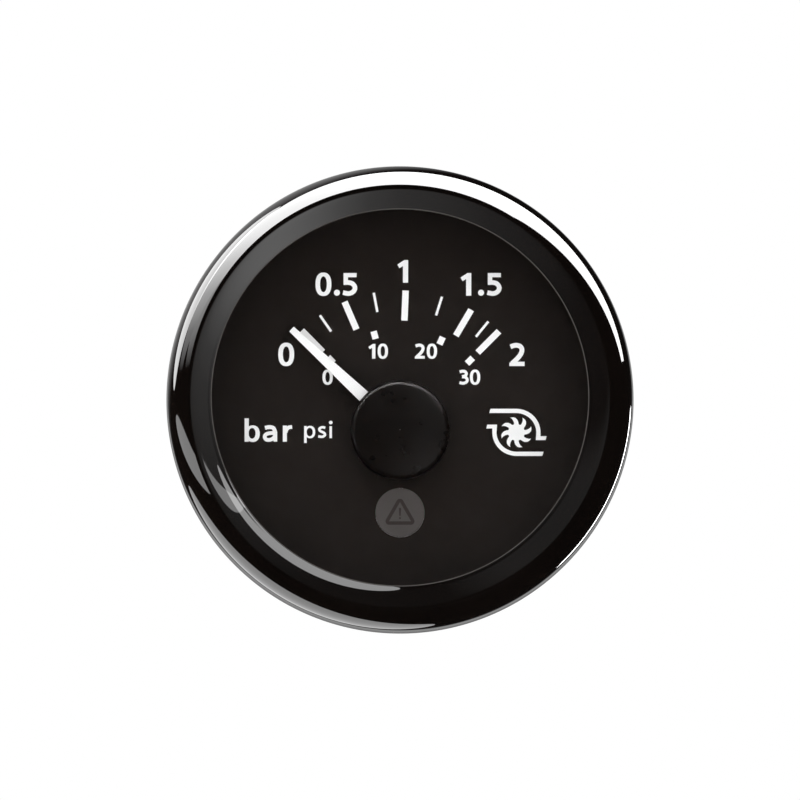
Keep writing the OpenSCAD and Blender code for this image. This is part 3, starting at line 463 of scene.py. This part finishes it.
# Each glyph is a list of strokes: an area's outline, a ring's two outlines, or a line with its width.
# The baseline is at 0, a digit is 22.6 high, and UNIT is the length of 1 on the dial.
GLYPHS = {
    "0": [("ring", oval((7.95, 11.4), (7.9, 11.7), 2.35), oval((7.95, 11.4), (3.35, 7.9), 2.2))],
    "1": [("area", [(10.7, 0), (10.7, 22.6), (6.9, 22.6), (0, 18.0), (2.1, 14.5), (5.6, 16.6), (5.6, 0)])],
    "2": [("area", [(0, 0), (15.2, 0), (15.2, 4.3), (5.0, 4.3), (0.1, 3.4)]),
          ("line", 4.7, [(1.2, 19.2), (4.4, 20.4), (7.6, 20.7), (11.0, 19.5), (12.6, 16.2), (11.4, 11.9),
                         (7.8, 7.3), (2.6, 2.4)])],
    "3": [("line", 4.5, [(1.4, 19.4), (5.2, 20.5), (9.4, 20.0), (11.5, 17.2), (10.2, 13.9), (5.0, 12.2)]),
          ("line", 4.5, [(5.0, 12.0), (10.4, 11.2), (12.9, 7.2), (11.0, 3.5), (6.2, 2.1), (1.0, 3.2)])],
    "5": [("area", [(1.1, 10.8), (5.5, 12.0), (5.5, 18.4), (14.1, 18.4), (14.1, 22.6), (1.1, 22.6)]),
          ("line", 4.6, [(1.6, 13.0), (6.2, 13.1), (10.2, 11.8), (12.5, 8.0), (10.8, 4.0), (6.3, 2.1),
                         (0.6, 3.1)])],
    ".": [("area", oval((3.0, 2.95), (3.0, 3.0), 2.0, 24))],
    "b": [("area", [(0, 0), (4.2, 0), (4.2, 23.2), (0, 23.2)]),
          ("ring", oval((8.2, 7.95), (6.9, 8.3), 2.2), oval((7.5, 8.3), (3.4, 5.3), 2.1))],
    "a": [("area", [(10.9, 0), (14.3, 0), (14.3, 10.0), (10.3, 10.0), (10.3, 2.2)]),
          ("line", 3.9, [(2.2, 13.7), (6.4, 14.5), (10.4, 13.6), (12.4, 9.6)]),
          ("line", 3.7, [(11.6, 8.6), (6.7, 8.4), (3.0, 7.1), (1.9, 4.7), (3.2, 2.3), (6.2, 1.7),
                         (9.5, 2.7), (12.2, 5.4)])],
    "r": [("area", [(0, 0), (4.0, 0), (4.0, 16.0), (0, 16.0)]),
          ("line", 3.7, [(2.6, 9.0), (3.9, 12.4), (6.2, 14.2), (9.2, 14.6)])],
    "p": [("area", [(0, -4.8), (2.6, -4.8), (2.6, 12.1), (0, 12.1)]),
          ("ring", oval((6.0, 6.1), (5.1, 6.2), 2.2), oval((5.6, 6.1), (3.0, 4.2), 2.1))],
    "s": [("line", 2.5, [(7.6, 10.3), (4.6, 10.9), (1.9, 9.6), (2.3, 7.4), (6.4, 5.2), (7.2, 3.0),
                         (4.6, 1.4), (0.6, 1.9)])],
    "i": [("area", [(0, 0), (2.5, 0), (2.5, 11.9), (0, 11.9)]),
          ("area", oval((1.3, 15.6), (1.8, 1.8), 2.0, 24))],
}
UNIT = 0.1328


def place(line, x, y, size):
    """A glyph's line at a place on the dial and at a size."""
    return [(x + px * size, y + py * size) for px, py in line]


def write(ink, glyph, x, y, scale=1.0):
    """Prints a glyph with its left end and baseline at a place on the dial."""
    size = UNIT * scale
    for kind, first, *rest in GLYPHS[glyph]:
        if kind == "area":
            ink.slab(place(first, x, y, size))
        elif kind == "ring":
            ink.slab(place(first, x, y, size), place(rest[0], x, y, size))
        else:
            ink.ribbon(smooth(place(rest[0], x, y, size)), first * size)


def about_pivot(r, angle):
    """A point of the dial at a distance from the pointer's axis and an angle from three o'clock."""
    a = math.radians(angle)
    return (PIVOT[0] + r * math.cos(a), PIVOT[1] + r * math.sin(a))


white = Print(DIAL_FACE)
SMALL = 0.65

# Scale marks, as an angle, the middle's distance from the pointer's axis, length and width
LONG, FINE, DOT = (16.56, 3.98, 0.84), (17.27, 2.6, 0.32), (13.07, 1.05, 0.84)
MARKS = [(angle, *LONG) for angle in (134.5, 113.3, 87.7, 59.5, 45.1)]
MARKS += [(angle, *FINE) for angle in (124.8, 100.8, 72.6, 51.0)]
MARKS += [(angle, *DOT) for angle in (134.5, 104.9, 65.4, 45.0)]
for angle, middle, length, width in MARKS:
    white.ribbon([about_pivot(middle - length / 2, angle), about_pivot(middle + length / 2, angle)], width)

# Numbers and units, as glyph, left end, baseline and scale
LETTERING = [("0", -16.11, 4.36, 1), ("0", -11.19, 13.66, 1), (".", -8.75, 13.66, 1), ("5", -7.62, 13.66, 1),
             ("1", -0.35, 15.38, 1), ("1", 8.01, 13.66, 1), (".", 10.33, 13.66, 1), ("5", 11.48, 13.66, 1),
             ("2", 14.46, 4.33, 1),
             ("0", -10.26, 1.87, SMALL), ("1", -4.18, 5.31, SMALL), ("0", -2.96, 5.31, SMALL),
             ("2", 1.96, 5.31, SMALL), ("0", 3.53, 5.31, SMALL),
             ("3", 7.78, 1.87, SMALL), ("0", 9.24, 1.87, SMALL),
             ("b", -20.55, -5.68, 1), ("a", -18.14, -5.68, 1), ("r", -15.49, -5.68, 1),
             ("p", -12.68, -5.22, 1), ("s", -10.89, -5.22, 1), ("i", -9.33, -5.22, 1)]
for glyph, x, y, scale in LETTERING:
    write(white, glyph, x, y, scale)

# The turbocharger symbol: an impeller between two ducts that mirror each other through its centre. A blade's
# points are radius and angle, a duct's are across and up, all in the glyphs' units.
SYMBOL = (15.39, -4.45)
BLADE = [(8.1, -24), (8.4, -15), (10.2, -11), (12.5, -4.5), (14.4, 3.8), (15.3, 10.8), (15.9, 22.5),
         (14.1, 17.8), (11.4, 14.6), (8.9, 14)]
BLADE_COUNT = 8
impeller = []
for blade in range(BLADE_COUNT):
    for r, angle in BLADE:
        a = math.radians(angle + 360 * blade / BLADE_COUNT)
        impeller.append((SYMBOL[0] + r * UNIT * math.cos(a), SYMBOL[1] + r * UNIT * math.sin(a)))
white.slab(impeller)
outer_edge = arc((-0.5, 0), (24.5, 23.5), 2, 90, 20)[::-1]
inner_edge = arc((-0.5, 0), (20.3, 19.3), 0, 90, 20)
mouth = [(24.0, -3.9), (30.0, -3.8), (29.0, -7.7), (19.3, -7.7)]
duct = [(-27.0, 19.3), (-25.7, 23.5)] + outer_edge + mouth + inner_edge
for side in (1, -1):
    white.slab([(SYMBOL[0] + side * x * UNIT, SYMBOL[1] + side * y * UNIT) for x, y in duct][::-1])
white.piece("dial_print", "root", "pointer_white", print_white)

# The warning light's sign: a triangle with rounded corners round a stroke and a dot
grey = Print(DIAL_FACE)
TRIANGLE_R, TRIANGLE_DROP, TRIANGLE_W, CORNER = 2.15, 0.3, 0.45, 0.24
STROKE, DOT_DROP, DOT_R = [(-0.14, 0.62), (-0.09, -0.42), (0.09, -0.42), (0.14, 0.62)], 0.72, 0.13
reach = TRIANGLE_R - 2 * CORNER
loop = []
for angle in (90, 210, 330):
    a = math.radians(angle)
    centre = (LAMP[0] + reach * math.cos(a), LAMP[1] - TRIANGLE_DROP + reach * math.sin(a))
    loop += arc(centre, (CORNER, CORNER), angle - 60, angle + 60, 8)
grey.ribbon(loop, TRIANGLE_W, closed=True)
grey.slab([(LAMP[0] + x, LAMP[1] + y) for x, y in STROKE])
grey.slab(oval((LAMP[0], LAMP[1] - DOT_DROP), (DOT_R, DOT_R), 2.0, 20))
grey.piece("warning_sign", "root", "lamp_window", print_grey)


# The floor, the camera and the light

def shade_floor():
    """Pale matt paper."""
    shader = Shader("floor_pale", 0.9, Specular_IOR_Level=0.1)
    shader.mottled((0.9, 0.9, 0.9), 3, 0.01)
    shader.bumped(shader.noise(60, 4), 0.05)
    return shader.material


FLOOR_Z, FLOOR_R = -0.1, 1.6
rim = [(*point, FLOOR_Z) for point in arc((0, 0), (FLOOR_R, FLOOR_R), 0, 356.25, 95)]
floor_mesh = bpy.data.meshes.new("floor")
floor_mesh.from_pydata(rim, [], [tuple(range(len(rim)))])
floor_mesh.materials.append(shade_floor())
floor = bpy.data.objects.new("floor", floor_mesh)
floor.visible_glossy = False
bpy.context.scene.collection.objects.link(floor)

# A long lens looks a little upwards at the bezel's rim, from where the rim is as large as in the picture
ELEVATION, FOCAL, SENSOR, PIXELS, PIXELS_PER_MM = -2.8, 300.0, 36.0, 800, 7.532
distance = PIXELS * FOCAL / (SENSOR * PIXELS_PER_MM) * MM
e = math.radians(ELEVATION)
target = Vector((0, -(FOOT_LOW + FOOT_TOP) / 2 * MM, 0))
camera_data = bpy.data.cameras.new("camera")
camera_data.lens, camera_data.sensor_width = FOCAL, SENSOR
camera_data.clip_start, camera_data.clip_end = 0.01, 20
camera = bpy.data.objects.new("camera", camera_data)
camera.location = target + distance * Vector((0, -math.cos(e), math.sin(e)))
camera.rotation_euler = (target - camera.location).to_track_quat("-Z", "Y").to_euler()
bpy.context.scene.collection.objects.link(camera)
bpy.context.scene.camera = camera


def softbox(name, centre, along, facing, length, width, radiance, stops=None, shape="RECTANGLE"):
    """A lamp of one radiance, or of shares of it at stops along its length, which faces a point."""
    lamp = bpy.data.lights.new(name, "AREA")
    lamp.shape, lamp.size, lamp.size_y = shape, length, width
    lamp.energy = radiance * length * width * math.pi * (math.pi / 4 if shape == "ELLIPSE" else 1)
    z = (Vector(centre) - Vector(facing)).normalized()
    x = Vector(along).normalized()
    x = (x - z * x.dot(z)).normalized()
    turned = Matrix((x, z.cross(x), z)).transposed().to_4x4()
    if stops:
        lamp.use_nodes = True
        tree = lamp.node_tree
        emission = next(n for n in tree.nodes if n.type == "EMISSION")
        place_on_lamp = tree.nodes.new("ShaderNodeNewGeometry")
        split = tree.nodes.new("ShaderNodeSeparateXYZ")
        ramp = tree.nodes.new("ShaderNodeValToRGB")
        fill_ramp(ramp, stops)
        tree.links.new(place_on_lamp.outputs["Parametric"], split.inputs["Vector"])
        tree.links.new(split.outputs["X"], ramp.inputs["Fac"])
        tree.links.new(ramp.outputs["Color"], emission.inputs["Strength"])
    made = bpy.data.objects.new(name, lamp)
    made.matrix_world = Matrix.Translation(Vector(centre)) @ turned
    made.visible_camera = False
    bpy.context.scene.collection.objects.link(made)
    return made


OVERHEAD, AROUND, MIDDLE = 0.25, 0.6, (0, 0, 0)


def from_part(azimuth, turned_away, reach=AROUND):
    """A point at an azimuth seen on the dial, and at an angle away from the line towards the viewer."""
    a, t = math.radians(azimuth), math.radians(turned_away)
    return (reach * math.sin(t) * math.cos(a), -reach * math.cos(t), reach * math.sin(t) * math.sin(a))


def between(start, stop):
    """The direction from one place round the part to another, each as from_part takes it."""
    return Vector(from_part(*stop)) - Vector(from_part(*start))


# The key strip lies overhead and is measured in steps of its height. It fades towards the left, and its
# slanted edges end the crescent on the bezel's roll. The wing widens the crescent at the left.
KEY_SLOPE, KEY_FRONT, KEY_REAR, KEY_LEFT, KEY_RIGHT = 0.17, -0.76, 0.125, -6.0, 4.8
KEY_LENGTH = KEY_RIGHT - KEY_LEFT
KEY_FADE = [((x - KEY_LEFT) / KEY_LENGTH, share)
            for x, share in ((-6.0, 0), (-2.75, 0.14), (-1.7, 0.3), (-1.2, 0.5), (-0.84, 0.75), (0, 1))]
WING_X, WING_Y, WING_SLOPE, WING_LENGTH, WING_WIDTH = -2.9, -1.62, 0.55, 5.2, 0.75
WING_FADE = [(0, 0), (0.35, 0.16), (0.6, 0.34), (1, 0.6)]
key_x, key_y = (KEY_LEFT + KEY_RIGHT) / 2, (KEY_FRONT + KEY_REAR) / 2
key_place = (key_x * OVERHEAD, (key_y + KEY_SLOPE * key_x) * OVERHEAD, OVERHEAD)
wing_place = (WING_X * OVERHEAD, WING_Y * OVERHEAD, OVERHEAD)
key = softbox("key_strip", key_place, (1, KEY_SLOPE, 0), (*key_place[:2], 0),
              KEY_LENGTH * OVERHEAD, (KEY_REAR - KEY_FRONT) * OVERHEAD, 16, KEY_FADE)
wing = softbox("key_wing", wing_place, (1, WING_SLOPE, 0), (*wing_place[:2], 0),
               WING_LENGTH * OVERHEAD, WING_WIDTH * OVERHEAD, 8, WING_FADE)

# The arc along the window at the lower left, and the two parts of the band that leads to it over the crest
front_right = softbox("front_right", from_part(60, 44.5, 0.55), (-0.62, 0.15, 0.55), MIDDLE, 0.5, 0.19, 4,
                      shape="ELLIPSE")
sweep_left = softbox("sweep_left", from_part(192, 71), between((201, 50), (182, 92)), MIDDLE, 0.5, 0.13, 2.8,
                     shape="ELLIPSE")
sweep_right = softbox("sweep_right", from_part(36, 34), between((35, 12), (37, 54)), MIDDLE, 0.5, 0.045, 2.6,
                      shape="ELLIPSE")

# These are seen in the gloss only, so that no mark of the print lies in a shadow
for lamp in (key, wing, front_right, sweep_left, sweep_right):
    lamp.visible_diffuse = False

# The bright rims at the upper left, the lower left and the right
softbox("rim_left", from_part(148, 97, 0.62), (0.34, 0, 0.53), MIDDLE, 0.64, 0.3, 8, shape="ELLIPSE")
softbox("rim_low", (-0.05, 0.03, -0.085), (1, 0, -0.3), MIDDLE, 0.16, 0.1, 2.8, shape="ELLIPSE")
softbox("rim_right", (0.225, 0.205, -0.09), (0.35, 0, 1), MIDDLE, 0.2, 0.04, 20)


VIEWER, UPPER_LEFT = Vector((0, -1, 0)), Vector((-0.49, 0.64, 0.59))
ROOM_LIGHT, FRONT_GLOW = 1.06, 1.6

# How bright the studio's front is by azimuth, as the cosine of the angle to its lower right, moved into 0 to 1
FRONT_BY_AZIMUTH = [(0, 0.1), (0.02, 0.1), (0.08, 0.02), (0.29, 0.03), (0.63, 0.12), (0.85, 0.24),
                    (0.91, 0.34), (0.953, 0.56), (0.983, 0.81), (1, 1)]


def light_world():
    """White for the camera, plain for diffuse light, and for gloss a dark studio with a few soft glows."""
    world = bpy.data.worlds.new("studio")
    bpy.context.scene.world = world
    world.use_nodes = True
    tree = world.node_tree
    background = next(n for n in tree.nodes if n.type == "BACKGROUND")
    rays = tree.nodes.new("ShaderNodeLightPath")
    where = tree.nodes.new("ShaderNodeTexCoord")

    def math_node(operation, *inputs):
        made = tree.nodes.new("ShaderNodeMath")
        made.operation = operation
        for socket, value in zip(made.inputs, inputs):
            if isinstance(value, (int, float)):
                socket.default_value = value
            else:
                tree.links.new(value, socket)
        return made.outputs[0]

    def towards(direction, start, stop, low, high):
        """A smooth step in how nearly a ray goes in a direction."""
        dot = tree.nodes.new("ShaderNodeVectorMath")
        dot.operation = "DOT_PRODUCT"
        tree.links.new(where.outputs["Generated"], dot.inputs[0])
        dot.inputs[1].default_value = direction.normalized()
        step = tree.nodes.new("ShaderNodeMapRange")
        step.interpolation_type = "SMOOTHSTEP"
        for socket, value in (("From Min", start), ("From Max", stop), ("To Min", low), ("To Max", high)):
            step.inputs[socket].default_value = value
        tree.links.new(dot.outputs["Value"], step.inputs["Value"])
        return step.outputs["Result"]

    def curve(value, stops):
        """A number that runs through stops of a value between 0 and 1."""
        ramp = tree.nodes.new("ShaderNodeValToRGB")
        fill_ramp(ramp, stops)
        tree.links.new(value, ramp.inputs["Fac"])
        return ramp.outputs["Color"]

    split = tree.nodes.new("ShaderNodeSeparateXYZ")
    tree.links.new(where.outputs["Generated"], split.inputs["Vector"])
    across, up = split.outputs["X"], split.outputs["Z"]
    reach = math_node("SQRT", math_node("ADD", math_node("MULTIPLY", across, across),
                                        math_node("ADD", math_node("MULTIPLY", up, up), 1e-5)))
    slant = math_node("MULTIPLY", math_node("SUBTRACT", across, up), 0.7071)
    lower_right = math_node("MULTIPLY_ADD", math_node("DIVIDE", slant, reach), 0.5, 0.5)
    by_azimuth = curve(lower_right, FRONT_BY_AZIMUTH)
    ahead = math_node("MULTIPLY", towards(VIEWER, 0.57, 0.65, 0, 1), towards(VIEWER, 0.99, 0.996, 1, 0))
    glow = math_node("MULTIPLY", math_node("MULTIPLY", by_azimuth, ahead), FRONT_GLOW)
    behind = towards(-VIEWER, 0.82, 0.97, 0.015, 0.4)
    upper_left = towards(UPPER_LEFT, 0.75, 0.98, 0, 0.8)
    studio = math_node("ADD", math_node("ADD", behind, upper_left), glow)
    mirror = math_node("MAXIMUM", rays.outputs["Is Glossy Ray"], rays.outputs["Is Transmission Ray"])
    light = math_node("ADD", math_node("MULTIPLY", mirror, studio),
                      math_node("MULTIPLY", math_node("SUBTRACT", 1, mirror), ROOM_LIGHT))
    camera_ray = rays.outputs["Is Camera Ray"]
    unseen = math_node("MULTIPLY", math_node("SUBTRACT", 1, camera_ray), light)
    tree.links.new(math_node("ADD", camera_ray, unseen), background.inputs["Strength"])
    background.inputs["Color"].default_value = (1, 1, 1, 1)


light_world()
bpy.context.scene.view_settings.view_transform = "Standard"
